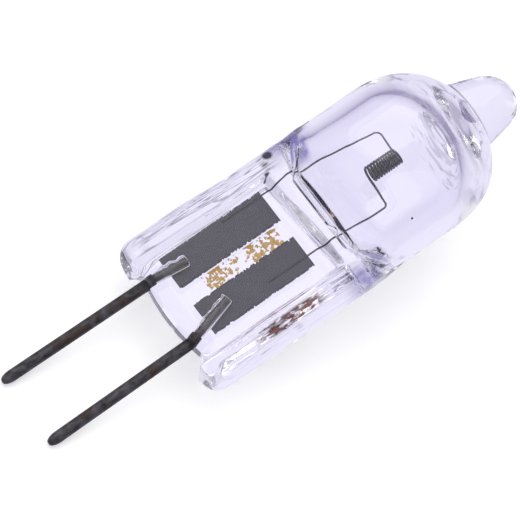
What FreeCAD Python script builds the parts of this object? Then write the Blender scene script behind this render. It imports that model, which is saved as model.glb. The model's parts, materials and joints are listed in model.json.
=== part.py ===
import FreeCAD, Part
import math
import os

V = FreeCAD.Vector

# A small pin-base capsule lamp of fused quartz. All sizes are millimetres.
# The pieces are drawn along the lamp's own axis: x runs from the foot of the pressed seal, where
# x is 0, to the exhaust tip, y goes across the two pins and z goes through the seal's thickness.
# At the end the lamp is laid down on its pin ends and its bulb, as it comes to rest on a table.

# Round bulb
bulb_diameter = 9.06
bulb_wall = 0.86
bulb_straight = 4.1
cavity_dome_height = 3.08
cavity_corner_radius = 2.8

# Exhaust tip, the sealed-off stub of the pumping tube
tip_radius = 1.9
tip_length = 2.85
tip_end_radius = 1.35
tip_blend = 0.3
dimple_radius = 0.75
dimple_end_radius = 0.25
dimple_depth = 0.9

# Pressed seal: two thick rails with a thinner web between them
seal_width = 9.4
seal_thickness = 3.3
seal_length = 8.7
seal_edge_radius = 1.3
web_thickness = 2.2
web_width = 6.1
rail_overhang = 0.25
rail_corner = 1.0
foot_edge = 0.4
recess_ramp = 0.5
recess_draft = 0.25
recess_corner = 0.6
recess_root = 0.2

# Neck between the seal and the bulb, and the wedge-shaped foot of the cavity
neck_length = 2.3
neck_root_radius = 1.6
neck_shoulder_radius = 1.8
seal_taper = 3.3
seal_tuck = 0.05
cavity_foot_inset = 1.05
cavity_foot_width = 5.7
cavity_foot_thickness = 0.9
cavity_shoulder = 0.95
cavity_foot_shift = 0.45

# Molybdenum foils, side by side in the web
foil_length = 6.55
foil_width = 2.0
foil_thickness = 0.035
foil_start = 1.15
foil_gap = 1.06
foil_shift = 0.45

# Contact pins: spacing where they leave the glass and at their tips
pin_diameter = 0.65
pin_spacing = 3.94
pin_tip_spacing = 4.13
pin_shift = 0.28
pin_length = 9.45
pin_nose = 0.6
pin_end_radius = 0.14
pin_lap_left = 1.1
pin_lap_right = 1.6
pin_offset_left = 0.02
pin_offset_right = 0.14
pin_bend_start = 0.05
pin_bend_radius = 1.0
weld_flat = 0.03
funnel_depth = 0.3
funnel_flare = 0.3
funnel_clearance = 0.04

# Tungsten wire: one coil with two formed legs
wire_diameter = 0.09
wire_sides = 6
chords_per_turn = 12
coil_turns = 11
coil_pitch = 0.176
coil_diameter = 0.84
coil_start = 12.97
coil_rise = 0.35
leg_lap = 2.6
leg_left_offset = 0.72
leg_right_offset = -0.33
leg_left_reach = 1.85
leg_right_reach = 1.83
leg_kink = 0.1
leg_kink_start = 1.0
leg_kink_end = 1.75
leg_kink_radius = 0.5
leg_bend_left = 0.35
leg_bend_right = 0.22
wire_flat = 0.008

bulb_radius = bulb_diameter / 2
cavity_radius = bulb_radius - bulb_wall
bulb_start = seal_length + neck_length
dome_start = bulb_start + bulb_straight
tip_base = dome_start + math.sqrt(bulb_radius**2 - tip_radius**2)
cavity_foot = seal_length + cavity_foot_inset
cavity_start = bulb_start + cavity_shoulder
cavity_top = dome_start + cavity_dome_height
pin_radius = pin_diameter / 2
wire_radius = wire_diameter / 2
foil_top = weld_flat - pin_radius
foil_end = foil_start + foil_length
foil_pitch = foil_width + foil_gap
foil_left_y = foil_shift + foil_pitch / 2
foil_right_y = foil_shift - foil_pitch / 2
join_tolerance = 0.001


def ease(u):
    """Smooth step from 0 to 1."""
    u = min(max(u, 0.0), 1.0)
    return u * u * (3 - 2 * u)


def blend(first, last, share):
    return first + (last - first) * share


def drawn_in(distance, radius):
    """How far an edge of this radius has drawn in, at a distance from the end face."""
    if distance >= radius:
        return 0.0
    return radius - math.sqrt(radius**2 - (radius - distance) ** 2)


def rounded_ring(x, half_width, half_height, radius):
    """Rectangle with round corners at x."""
    short = radius * (1 - math.sqrt(0.5))
    edges = []
    for side_y, side_z in ((1, 1), (-1, 1), (-1, -1), (1, -1)):
        on_side = V(x, side_y * half_width, side_z * (half_height - radius))
        on_face = V(x, side_y * (half_width - radius), side_z * half_height)
        middle = V(x, side_y * (half_width - short), side_z * (half_height - short))
        ends = (on_side, on_face) if side_y == side_z else (on_face, on_side)
        if edges:
            edges.append(Part.makeLine(last, ends[0]))
        edges.append(Part.Arc(ends[0], middle, ends[1]).toShape())
        last = ends[1]
    edges.append(Part.makeLine(last, edges[0].Vertexes[0].Point))
    return Part.Wire(edges)


def oval_ring(x, half_width, half_height, shift):
    """Ellipse at x, moved sideways by shift."""
    curve = Part.Ellipse(V(x, shift + half_width, 0), V(x, shift, half_height), V(x, shift, 0))
    return Part.Wire([curve.toShape()])


def arc_at(centre, radius, start_angle, end_angle):
    """Arc in the x-y plane; angles are in radians from the x axis."""
    points = []
    for angle in (start_angle, (start_angle + end_angle) / 2, end_angle):
        points.append(centre + V(math.cos(angle), math.sin(angle), 0) * radius)
    return Part.Arc(*points).toShape()


def turned(edges):
    """Solid turned about the x axis from an outline that starts and ends on it."""
    start = edges[0].Vertexes[0].Point
    end = edges[-1].Vertexes[-1].Point
    outline = Part.Wire(edges + [Part.makeLine(end, start)])
    return Part.Face(outline).revolve(V(0, 0, 0), V(1, 0, 0), 360)


def path_through(points, radii):
    """Edges along straight runs whose inner corners are rounded by tangent arcs."""
    edges = []
    start = points[0]
    for before, corner, after, radius in zip(points, points[1:], points[2:], radii):
        back = (before - corner).normalize()
        on = (after - corner).normalize()
        half_angle = back.getAngle(on) / 2
        arc_start = corner + back * (radius / math.tan(half_angle))
        arc_end = corner + on * (radius / math.tan(half_angle))
        to_centre = (back + on).normalize()
        arc_middle = corner + to_centre * (radius / math.sin(half_angle) - radius)
        edges.append(Part.makeLine(start, arc_start))
        edges.append(Part.Arc(arc_start, arc_middle, arc_end).toShape())
        start = arc_end
    edges.append(Part.makeLine(start, points[-1]))
    return edges


def round_bar(edges, radius):
    """Round bar built along its path: a straight length for each run and a bend for each arc."""
    lengths = []
    for edge in edges:
        start = edge.valueAt(edge.FirstParameter)
        end = edge.valueAt(edge.LastParameter)
        disc = Part.Face(Part.Wire([Part.makeCircle(radius, start, edge.tangentAt(edge.FirstParameter))]))
        if edge.Curve.TypeId == "Part::GeomLine":
            lengths.append(disc.extrude(end - start))
        else:
            turn = math.degrees(edge.LastParameter - edge.FirstParameter)
            lengths.append(disc.revolve(edge.Curve.Center, edge.Curve.Axis, turn))
    return lengths[0].fuse(lengths[1:]).removeSplitter()


def wire_section(edge, radius, sides):
    """Many-sided section of a fine wire, of the round wire's area, across the start of its path."""
    centre = edge.valueAt(edge.FirstParameter)
    along = V(edge.tangentAt(edge.FirstParameter)).normalize()
    across = along.cross(V(0, 0, 1)).normalize()
    corner_radius = radius * math.sqrt(2 * math.pi / (sides * math.sin(2 * math.pi / sides)))
    upward = across.cross(along)
    corners = []
    for i in range(sides + 1):
        angle = 2 * math.pi * (i + 0.5) / sides
        reach = across * math.cos(angle) + upward * math.sin(angle)
        corners.append(centre + reach * corner_radius)
    return Part.makePolygon(corners)


def glass_seal():
    """Pressed seal with its rounded foot; its far end tapers away inside the bulb."""
    foot = -rail_overhang
    half_width = seal_width / 2
    half_height = seal_thickness / 2
    rings = []
    for share in (0, 0.1, 0.4, 1):
        drawn = rail_corner * share
        edge = drawn_in(drawn, foot_edge)
        rings.append(rounded_ring(foot + drawn, half_width - drawn_in(drawn, rail_corner),
                                  half_height - edge, seal_edge_radius - edge))
    rings.append(rounded_ring(seal_length, half_width, half_height, seal_edge_radius))
    rings.append(rounded_ring(seal_length + seal_taper, bulb_radius - seal_tuck,
                              half_height - seal_tuck, seal_edge_radius))
    return Part.makeLoft(rings, True, True)


def glass_bulb():
    """Neck, round bulb, dome and exhaust tip, turned in one outline."""
    inside_seal = V(seal_length - neck_length, seal_thickness / 2 - seal_tuck, 0)
    neck_root = V(seal_length, inside_seal.y, 0)
    shoulder = V(bulb_start, bulb_radius, 0)
    side_end = V(dome_start, bulb_radius, 0)
    outline = [Part.makeLine(V(inside_seal.x, 0, 0), inside_seal)]
    outline += path_through([inside_seal, neck_root, shoulder, side_end],
                            [neck_root_radius, neck_shoulder_radius])
    outline.append(arc_at(V(dome_start, 0, 0), bulb_radius, math.pi / 2,
                          math.asin(tip_radius / bulb_radius)))
    end_centre = V(tip_base + tip_length - tip_end_radius, 0, 0)
    to_rim = V(tip_base, tip_radius, 0) - end_centre
    lean = math.acos(tip_end_radius / to_rim.Length)
    touch_angle = math.atan2(to_rim.y, to_rim.x) - lean
    touch = end_centre + V(math.cos(touch_angle), math.sin(touch_angle), 0) * tip_end_radius
    outline.append(Part.makeLine(V(tip_base, tip_radius, 0), touch))
    outline.append(arc_at(end_centre, tip_end_radius, touch_angle, 0))
    bulb = turned(outline)
    crease = [edge for edge in bulb.Edges
              if abs(edge.BoundBox.XMin - tip_base) < join_tolerance
              and edge.BoundBox.XLength < join_tolerance]
    return bulb.makeFillet(tip_blend, crease)


def glass_cavity():
    """Hollow of the lamp: a flat wedge at the seal that opens into the round bulb."""
    rings = []
    steps = 4
    for i in range(steps + 1):
        share = i / steps
        widen = math.sin(math.pi / 2 * share)
        rings.append(oval_ring(blend(cavity_foot, cavity_start, share),
                               blend(cavity_foot_width / 2, cavity_radius, widen) - seal_tuck * share,
                               blend(cavity_foot_thickness / 2, cavity_radius, widen) - 2 * seal_tuck * share,
                               cavity_foot_shift * (1 - ease(share))))
    near_end = V(cavity_start - seal_tuck, cavity_radius, 0)
    side_end = V(dome_start, cavity_radius, 0)
    corner_y = cavity_radius - cavity_corner_radius
    corner_angle = 2 * math.atan((cavity_dome_height - cavity_corner_radius) / corner_y)
    cap_radius = cavity_corner_radius + corner_y / math.sin(corner_angle)
    bulb = turned([
        Part.makeLine(V(near_end.x, 0, 0), near_end),
        Part.makeLine(near_end, side_end),
        arc_at(V(dome_start, corner_y, 0), cavity_corner_radius, math.pi / 2, corner_angle),
        arc_at(V(cavity_top - cap_radius, 0, 0), cap_radius, corner_angle, 0),
    ])
    dimple = Part.makeCone(dimple_radius, dimple_end_radius, 2 * dimple_depth,
                           V(cavity_top - dimple_depth, 0, 0), V(1, 0, 0))
    return Part.makeLoft(rings, True, True).fuse([bulb, dimple])


def recess_outline(height):
    """Outline of the pressed recess at a height above its floor, open towards the foot."""
    lift = height / ((seal_thickness - web_thickness) / 2)
    end = seal_length - recess_ramp * (1 - lift)
    half = web_width / 2 + recess_draft * lift
    near = -2 * rail_overhang - recess_corner
    z = web_thickness / 2 + height
    middle = recess_corner * (1 - math.sqrt(0.5))
    corner_a = V(end - recess_corner, -half, z)
    corner_b = V(end, -half + recess_corner, z)
    corner_c = V(end, half - recess_corner, z)
    corner_d = V(end - recess_corner, half, z)
    return Part.Wire([
        Part.makeLine(V(near, -half, z), corner_a),
        Part.Arc(corner_a, V(end - middle, -half + middle, z), corner_b).toShape(),
        Part.makeLine(corner_b, corner_c),
        Part.Arc(corner_c, V(end - middle, half - middle, z), corner_d).toShape(),
        Part.makeLine(corner_d, V(near, half, z)),
        Part.makeLine(V(near, half, z), V(near, -half, z)),
    ])


def recess():
    """Tool that presses the upper recess between the rails."""
    block = Part.makeLoft([recess_outline(0), recess_outline(seal_thickness / 2)], True, True)
    floor = web_thickness / 2
    roots = [edge for edge in block.Edges
             if edge.BoundBox.ZMax < floor + join_tolerance
             and edge.BoundBox.XMax > 0]
    return block.makeFillet(recess_root, roots)


def contact_pin(side, lap, foil_y, offset):
    """Round pin: straight outside with a blunt nose, set over inside the glass to its foil."""
    exit_y = pin_shift + side * pin_spacing / 2
    tip_y = pin_shift + side * pin_tip_spacing / 2
    outward = V(-pin_length, tip_y - exit_y, 0).normalize()
    nose_base = V(0, exit_y, 0) + outward * (pin_length - pin_nose)
    bend = V(0, exit_y, 0) - outward * pin_bend_start
    inner_end = V(foil_start + lap, foil_y + offset, 0)
    bar = round_bar(path_through([nose_base, bend, inner_end], [pin_bend_radius]), pin_radius)
    nose_radius = (pin_radius + pin_end_radius) / 2 + pin_end_radius / 3
    cheek = Part.makeCone(pin_radius, nose_radius, pin_nose * 2 / 3, nose_base, outward)
    end = Part.makeCone(nose_radius, pin_end_radius, pin_nose / 3,
                        nose_base + outward * (pin_nose * 2 / 3), outward)
    return bar.fuse([cheek, end])


def funnel(side):
    """Clearance that the glass leaves round a pin where it draws back at the foot."""
    exit_y = pin_shift + side * pin_spacing / 2
    inner = pin_radius + funnel_clearance
    return Part.makeCone(inner + funnel_flare, inner, funnel_depth, V(0, exit_y, 0), V(1, 0, 0))


def foil(centre_y):
    """Flat sealing foil that lies in the middle of the web."""
    corner = V(foil_start, centre_y - foil_width / 2, foil_top - foil_thickness)
    return Part.makeBox(foil_length, foil_width, foil_thickness, corner)


def filament():
    """One wire: a leg from the right foil, the coil, and a leg back to the left foil."""
    on_foil_z = foil_top + wire_radius - wire_flat
    coil_radius = coil_diameter / 2
    coil_points = []
    for i in range(coil_turns * chords_per_turn + 1):
        turn = i / chords_per_turn
        angle = 2 * math.pi * turn
        coil_points.append(V(coil_start + coil_pitch * turn, coil_rise + coil_radius * math.sin(angle),
                             -coil_radius * math.cos(angle)))
    coil = [Part.makeLine(a, b) for a, b in zip(coil_points, coil_points[1:])]
    coil_in = coil_points[0]
    coil_out = coil_points[-1]
    along = V(coil_pitch / (2 * math.pi * coil_radius), 1, 0).normalize()
    leg_start = foil_end - leg_lap
    kink_start = foil_end + leg_kink_start
    kink_end = foil_end + leg_kink_end
    right_y = foil_right_y + leg_right_offset
    left_y = foil_left_y + leg_left_offset
    right_leg = path_through([
        V(leg_start, right_y, on_foil_z),
        V(kink_start, right_y, on_foil_z),
        coil_in - along * leg_right_reach,
        coil_in,
    ], [leg_kink_radius, leg_bend_right])
    left_leg = path_through([
        coil_out,
        coil_out + along * leg_left_reach,
        V(kink_end, left_y + leg_kink, on_foil_z),
        V(kink_start, left_y, on_foil_z),
        V(leg_start, left_y, on_foil_z),
    ], [leg_bend_left, leg_kink_radius, leg_kink_radius])
    edges = right_leg + coil + left_leg
    section = wire_section(edges[0], wire_radius, wire_sides)
    wire = Part.Wire(edges).makePipeShell([section], True, False, 1)
    length = sum(edge.Length for edge in edges)
    print("filament wire length", round(length, 3), "volume", round(wire.Volume, 4),
          "section times length", round(math.pi * wire_radius**2 * length, 4))
    return wire


def envelope(buried):
    """The quartz glass, closed round what is buried in its seal."""
    press = recess()
    gap_width = web_width + 2 * recess_draft
    gap = Part.makeBox(recess_corner, gap_width, seal_thickness,
                       V(-recess_corner, -gap_width / 2, -seal_thickness / 2))
    glass = glass_seal().fuse(glass_bulb())
    glass = glass.cut([press, press.mirror(V(0, 0, 0), V(0, 0, 1)), gap])
    glass = glass.cut([glass_cavity(), funnel(1), funnel(-1)])
    return glass.cut(buried)


def lowest(shapes, tilt):
    """Lowest point of the shapes when the lamp is tipped up by tilt about the y axis."""
    points = []
    for shape in shapes:
        turned_shape = shape.copy()
        turned_shape.rotate(V(0, 0, 0), V(0, 1, 0), -tilt)
        points.append(turned_shape.optimalBoundingBox(False).ZMin)
    return min(points)


def resting_tilt(glass, pins):
    """Angle in degrees at which the pins and the glass touch one flat surface."""
    low, high = 0.0, 45.0
    while high - low > 0.0005:
        tilt = (low + high) / 2
        if lowest(pins, tilt) > lowest([glass], tilt):
            low = tilt
        else:
            high = tilt
    return (low + high) / 2


foils = {"foil_left": foil(foil_left_y), "foil_right": foil(foil_right_y)}
pins = {
    "contact_pin_left": contact_pin(1, pin_lap_left, foil_left_y, pin_offset_left),
    "contact_pin_right": contact_pin(-1, pin_lap_right, foil_right_y, pin_offset_right),
}
coil_wire = filament().cut(list(foils.values()))
pieces = {name: pin.cut(list(foils.values())) for name, pin in pins.items()}
pieces.update(foils)
pieces["filament"] = coil_wire
pieces["quartz_envelope"] = envelope(list(pieces.values()))

tilt = resting_tilt(pieces["quartz_envelope"], [pieces[name] for name in pins])
for shape in pieces.values():
    shape.rotate(V(0, 0, 0), V(0, 1, 0), -tilt)
whole = Part.Compound(list(pieces.values())).optimalBoundingBox(False)
origin = V((whole.XMin + whole.XMax) / 2, (whole.YMin + whole.YMax) / 2, whole.ZMin)
print("tilt", round(tilt, 3), "origin in the tipped frame", [round(v, 4) for v in origin])

os.makedirs("parts", exist_ok=True)
for name, shape in pieces.items():
    shape.translate(V(-origin.x, -origin.y, -origin.z))
    shape.exportStep("parts/" + name + ".step")
    box = shape.optimalBoundingBox(False)
    print(name, shape.ShapeType, shape.isValid(), "solids", len(shape.Solids), "volume",
          round(shape.Volume, 3), "x", round(box.XMin, 3), round(box.XMax, 3),
          "y", round(box.YMin, 3), round(box.YMax, 3), "z", round(box.ZMin, 3), round(box.ZMax, 3))
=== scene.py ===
import json
import math

import bmesh
import bpy
from mathutils import Matrix, Vector, noise


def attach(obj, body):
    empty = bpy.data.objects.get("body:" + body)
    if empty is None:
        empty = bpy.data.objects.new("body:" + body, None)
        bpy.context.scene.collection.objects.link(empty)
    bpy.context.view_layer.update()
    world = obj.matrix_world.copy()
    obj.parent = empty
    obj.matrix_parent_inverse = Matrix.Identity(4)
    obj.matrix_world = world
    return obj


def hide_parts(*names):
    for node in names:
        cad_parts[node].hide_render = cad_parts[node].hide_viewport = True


# A small pin-base capsule lamp of quartz glass, lying on its pins and its bulb.
# Every piece is shaped in millimetres along the lamp's own axis: x from the foot of the pressed
# seal to the exhaust tip, y across the pins, z through the seal. Then it is laid in the frame.

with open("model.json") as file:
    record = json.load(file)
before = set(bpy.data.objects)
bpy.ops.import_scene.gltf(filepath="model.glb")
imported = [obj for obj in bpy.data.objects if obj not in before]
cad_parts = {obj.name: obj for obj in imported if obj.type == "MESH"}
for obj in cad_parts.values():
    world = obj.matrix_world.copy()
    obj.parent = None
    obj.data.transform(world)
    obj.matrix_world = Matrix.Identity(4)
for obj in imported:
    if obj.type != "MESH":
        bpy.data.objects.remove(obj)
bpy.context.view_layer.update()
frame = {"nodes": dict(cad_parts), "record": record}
print("frame loaded:", sorted(frame["nodes"]))

mm = 0.001
nudge = 1e-3  # too short to see, it only gives a tube's end ring its direction
weldGap = 1e-5  # points closer than this are one point
pinMounts = {mount["name"]: mount for mount in frame["record"]["mounts"]}


def mountExit(mount):  # where a pin leaves the glass
    return Vector(mount["pos_m"]) - Vector(mount["axis"]) * mount["dims"]["length_mm"] * mm / 2


outward = (Vector(pinMounts["pin_left"]["axis"]) + Vector(pinMounts["pin_right"]["axis"])).normalized()
lampTilt = math.atan2(-outward.z, -outward.x)
footCentre = (mountExit(pinMounts["pin_left"]) + mountExit(pinMounts["pin_right"])) / 2
lampPlace = (Matrix.Translation((footCentre.x, 0, footCentre.z))
             @ Matrix.Rotation(-lampTilt, 4, "Y") @ Matrix.Scale(mm, 4))
pinExitY = {side: mountExit(pinMounts["pin_" + side]).y / mm for side in ("left", "right")}
pinRadius = pinMounts["pin_left"]["dims"]["r_mm"]


# Small helpers for shapes

def ease(u):
    u = min(max(u, 0.0), 1.0)
    return u * u * (3 - 2 * u)


def blend(first, last, share):
    return first + (last - first) * share


def grow(x, first, last):  # a smooth climb from 0 to 1 between two places
    return ease((x - first) / (last - first))


def fade(x, first, last):
    return 1 - grow(x, first, last)


def past(place, reach):  # the two ends of a reach that is measured from a place
    return [place + end for end in reach]


def softMax(a, b, width):  # larger of the two, with a rounded valley between
    gap = max(width - abs(a - b), 0.0) / width
    return max(a, b) + gap * gap * width / 4


def softMin(a, b, width):
    return -softMax(-a, -b, width)


def drawnIn(distance, radius):  # how far a rounded edge has drawn in, near the end face
    if distance >= radius:
        return 0.0
    return radius - math.sqrt(max(radius**2 - (radius - distance) ** 2, 0.0))


def spread(first, last, count):  # count steps, with the first point left out
    return [blend(first, last, (i + 1) / count) for i in range(count)]


def fullTurn(count):
    return [2 * math.pi * k / count for k in range(count)]


def onArc(centre, radius, angle):
    return centre + Vector((math.cos(angle), math.sin(angle))) * radius


def roundedPath(corners, radii, arcSteps):  # straight runs joined by tangent arcs
    spots = [corners[0]]
    for before, corner, after, radius in zip(corners, corners[1:], corners[2:], radii):
        back, on = (before - corner).normalized(), (after - corner).normalized()
        half = back.angle(on) / 2
        centre = corner + (back + on).normalized() * (radius / math.sin(half))
        first = corner + back * (radius / math.tan(half)) - centre
        last = corner + on * (radius / math.tan(half)) - centre
        turn = first.angle(last)
        for i in range(arcSteps + 1):
            share = i / arcSteps
            spots.append(centre + (first * math.sin((1 - share) * turn)
                                   + last * math.sin(share * turn)) / math.sin(turn))
    return spots + [corners[-1]]


def skinRings(bm, rings):  # one skin over rings of equally many points
    loop = bmesh.ops.create_circle(bm, segments=len(rings[0]), radius=1)["verts"]
    for vert, spot in zip(loop, rings[0]):
        vert.co = spot
    edges = list({edge for vert in loop for edge in vert.link_edges})
    for ring in rings[1:]:
        grown = bmesh.ops.extrude_edge_only(bm, edges=edges)["geom"]
        fresh = {item for item in grown if isinstance(item, bmesh.types.BMVert)}
        loop = [next(edge.other_vert(vert) for edge in vert.link_edges
                     if edge.other_vert(vert) in fresh) for vert in loop]
        edges = [item for item in grown
                 if isinstance(item, bmesh.types.BMEdge) and fresh.issuperset(item.verts)]
        for vert, spot in zip(loop, ring):
            vert.co = spot


def closeSkin(bm, inward=False):  # merge seams and poles, and turn the faces the right way
    bmesh.ops.remove_doubles(bm, verts=bm.verts, dist=weldGap)
    bmesh.ops.dissolve_degenerate(bm, edges=bm.edges, dist=weldGap)
    bmesh.ops.recalc_face_normals(bm, faces=bm.faces)
    if inward:
        bmesh.ops.reverse_faces(bm, faces=bm.faces)


def tubeRings(path, radii, sides):  # rings square to a path, turned as little as possible
    rings = []
    across = None
    for i, spot in enumerate(path):
        along = (path[min(i + 1, len(path) - 1)] - path[max(i - 1, 0)]).normalized()
        if across is None:
            across = along.orthogonal().normalized()
        across = (across - along * across.dot(along)).normalized()
        upward = along.cross(across)
        rings.append([spot + (across * math.cos(a) + upward * math.sin(a)) * radii[i]
                      for a in fullTurn(sides)])
    return rings


def newVerts(grown):
    return [item for item in grown if isinstance(item, bmesh.types.BMVert)]


def addPiece(name, bm, material, nodes):
    mesh = bpy.data.meshes.new(name)
    bm.to_mesh(mesh)
    bm.free()
    mesh.transform(lampPlace)
    mesh.shade_smooth()
    piece = bpy.data.objects.new(name, mesh)
    bpy.context.scene.collection.objects.link(piece)
    mesh.materials.append(material)
    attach(piece, "root")
    if nodes:
        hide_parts(*nodes)
    print("made", name, len(mesh.polygons), "faces")
    return piece


# Shader maths

class Sock:  # a socket that can be added, subtracted and multiplied
    def __init__(self, mat, out):
        self.mat, self.out = mat, out

    def maths(self, operation, other, flip=False):
        values = [other, self] if flip else [self, other]
        return self.mat.node("ShaderNodeMath", {"operation": operation}, values)

    def __add__(self, other):
        return self.maths("ADD", other)

    def __sub__(self, other):
        return self.maths("SUBTRACT", other)

    def __rsub__(self, other):
        return self.maths("SUBTRACT", other, True)

    def __mul__(self, other):
        return self.maths("MULTIPLY", other)

    __radd__, __rmul__ = __add__, __mul__


class Mat:  # one node tree, of a material or the world
    def __init__(self, tree):
        self.tree = tree
        tree.nodes.clear()

    def node(self, kind, settings=None, values=(), out=0):
        made = self.tree.nodes.new(kind)
        for key, value in (settings or {}).items():
            if key == "stops":
                setStops(made.color_ramp, value)
            else:
                setattr(made, key, value)
        items = values.items() if isinstance(values, dict) else enumerate(values)
        for key, value in items:
            if isinstance(value, Sock):
                self.tree.links.new(value.out, made.inputs[key])
            else:
                made.inputs[key].default_value = value
        return Sock(self, made.outputs[out]) if made.outputs else None

    def ramp(self, value, stops):
        return self.node("ShaderNodeValToRGB", {"stops": stops}, [value])

    def climb(self, value, first, last):  # black up to the first value, white from the last
        return self.ramp(value, [(first, grey(0)), (last, grey(1))])

    def mixColour(self, share, first, last):
        return self.node("ShaderNodeMix", {"data_type": "RGBA"}, {0: share, 6: first, 7: last}, 2)

    def absolute(self, value):
        return self.node("ShaderNodeMath", {"operation": "ABSOLUTE"}, [value])

    def distance(self, spots, middle):
        return self.node("ShaderNodeVectorMath", {"operation": "DISTANCE"}, [spots, middle], "Value")

    def noise(self, spots, scale, detail=3.0):
        return self.node("ShaderNodeTexNoise", None, {"Vector": spots, "Scale": scale, "Detail": detail})

    def bump(self, height, strength, distance):
        return self.node("ShaderNodeBump", None,
                         {"Height": height, "Strength": strength, "Distance": distance})

    def objectSpots(self, stretch=(1, 1, 1)):  # places on the piece in millimetres along the lamp
        spots = self.node("ShaderNodeTexCoord", None, (), "Object")
        laid = self.node("ShaderNodeMapping", {"vector_type": "POINT"},
                         {"Vector": spots, "Rotation": (0, lampTilt, 0),
                          "Location": -(Matrix.Rotation(lampTilt, 3, "Y") @ lampPlace.translation)})
        return self.node("ShaderNodeMapping", {"vector_type": "POINT"},
                         {"Vector": laid, "Scale": [s / mm for s in stretch]})


def setStops(ramp, stops):
    while len(ramp.elements) > 1:
        ramp.elements.remove(ramp.elements[-1])
    for i, (place, colour) in enumerate(stops):
        element = ramp.elements[0] if i == 0 else ramp.elements.new(place)
        element.position = place
        element.color = colour


def colour(red, green, blue):  # a colour as seen, 0 to 255, as Blender counts light
    parts = []
    for value in (red, green, blue):
        value = value / 255
        parts.append(value / 12.92 if value <= 0.04045 else ((value + 0.055) / 1.055) ** 2.4)
    return (*parts, 1.0)


def grey(value):
    return (value, value, value, 1.0)


def newMaterial(name):
    material = bpy.data.materials.new(name)
    material.use_nodes = True
    return material, Mat(material.node_tree)


def shade(mat, **values):
    shader = mat.node("ShaderNodeBsdfPrincipled", None,
                      {key.replace("_", " "): value for key, value in values.items()})
    mat.node("ShaderNodeOutputMaterial", None, [shader])


# Quartz envelope: outer skin

glass = {
    "halfWidth": 4.7,
    "halfThickness": 1.65,
    "edgeRadius": 1.3,
    "leftOverhang": 0.5,
    "rightOverhang": 0.75,
    "railCorner": 0.75,
    "railInside": 0.6,  # the foot turns from web to rail between these two sides of the recess's edge
    "railOutside": 0.3,
    "footEdge": 0.5,
    "webEdge": 0.8,
    "footBulge": 0.42,
    "footLength": 1.5,
    "footSection": 2.0,  # the foot has the seal's section from here
    "leftDrawn": 0.17,
    "drawnStart": (3.0, 7.0),
    "drawnEnd": (10.0, 11.5),
    "webHalf": 1.1,
    "recessHalf": 3.05,
    "recessEnd": 8.2,
    "recessSlant": -0.07,
    "recessDraft": 0.25,
    "recessRamp": 0.34,
    "recessCorner": 0.3,
    "recessSoft": 0.14,
    "sealLength": 9.3,
    "sealFade": 2.0,
    "widthFade": 3.0,
    "neckLength": 1.7,
    "neckRoot": 1.6,
    "neckRootRun": 1.6,
    "neckRootRadius": 0.8,
    "neckSoft": 0.5,
    "neckSoftFade": 1.5,
    "shoulderRadius": 3.2,
    "backLag": 0.55,
    "lagStart": (7.3, 8.3),
    "lagEnd": (11.0, 14.0),
    "lagRound": 1.5,
    "bulbRadius": 4.53,
    "bulbStraight": 4.1,
    "domeFull": 0.22,
    "fullMean": 0.6,
    "fullRight": 0.4,
    "fullAlong": 0.7,
    "tipRadius": 2.05,
    "tipLength": 2.98,
    "tipEndRadius": 1.62,
    "tipBlend": 0.22,
    "tipLean": -0.2,
    "leanBefore": 0.6,
    "around": 320,
    "endRings": 8,
    "footRings": (0.0, 0.01, 0.03, 0.07, 0.12, 0.18, 0.25, 0.33, 0.4, 0.55, 0.75, 1.0),
    "sealRings": 22,
    "neckArc": 12,
    "neckStep": 0.16,
    "bulbRings": 14,
    "domeRings": 26,
    "creaseRings": 6,
    "tipSideRings": 8,
    "tipEndRings": 14,
    "tint": colour(251, 250, 255),
    "ior": 1.46,
    "roughness": 0.0,
}
bulbStart = glass["sealLength"] + glass["neckLength"]
domeStart = bulbStart + glass["bulbStraight"]
tipBase = domeStart + math.sqrt(glass["bulbRadius"] ** 2 - glass["tipRadius"] ** 2)
tipEnd = tipBase + glass["tipLength"]


def neckStations():  # x and radius of the round part from the neck's root to the end of its side
    g = glass
    corners = [Vector((g["sealLength"] - g["neckRootRun"], g["neckRoot"], 0)),
               Vector((g["sealLength"], g["neckRoot"], 0)),
               Vector((bulbStart, g["bulbRadius"], 0)), Vector((domeStart, g["bulbRadius"], 0))]
    return roundedPath(corners, [g["neckRootRadius"], g["shoulderRadius"]], g["neckArc"])


def domeStations():  # x and radius over the dome, the crease and the exhaust tip
    g = glass
    centre = Vector((domeStart, 0))
    endCentre = Vector((tipEnd - g["tipEndRadius"], 0))
    rim = Vector((tipBase, g["tipRadius"]))
    toRim = rim - endCentre
    touchAngle = math.atan2(toRim.y, toRim.x) - math.acos(g["tipEndRadius"] / toRim.length)
    touch = onArc(endCentre, g["tipEndRadius"], touchAngle)
    along = (touch - rim).normalized()
    side = Vector((-along.y, along.x))
    start = rim + side * g["tipBlend"] - centre
    reach = g["bulbRadius"] + g["tipBlend"]
    middle = -start.dot(along)
    step = middle + math.sqrt(middle**2 - start.length_squared + reach**2)
    blendCentre = centre + start + along * step
    onDome = (blendCentre - centre).normalized()
    domeAngle = math.atan2(onDome.y, onDome.x)
    spots = [onArc(centre, g["bulbRadius"], a) for a in spread(math.pi / 2, domeAngle, g["domeRings"])]
    first, last = math.atan2(-onDome.y, -onDome.x), math.atan2(-side.y, -side.x)
    spots += [onArc(blendCentre, g["tipBlend"], a) for a in spread(first, last, g["creaseRings"])]
    foot = spots[-1].copy()
    spots += [foot.lerp(touch, share) for share in spread(0, 1, g["tipSideRings"])]
    spots += [onArc(endCentre, g["tipEndRadius"], a) for a in spread(touchAngle, 0, g["tipEndRings"])]
    return spots


def halfWidthAt(x):
    g = glass
    return blend(g["halfWidth"], g["bulbRadius"], ease((x - g["sealLength"]) / g["widthFade"]))


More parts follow.
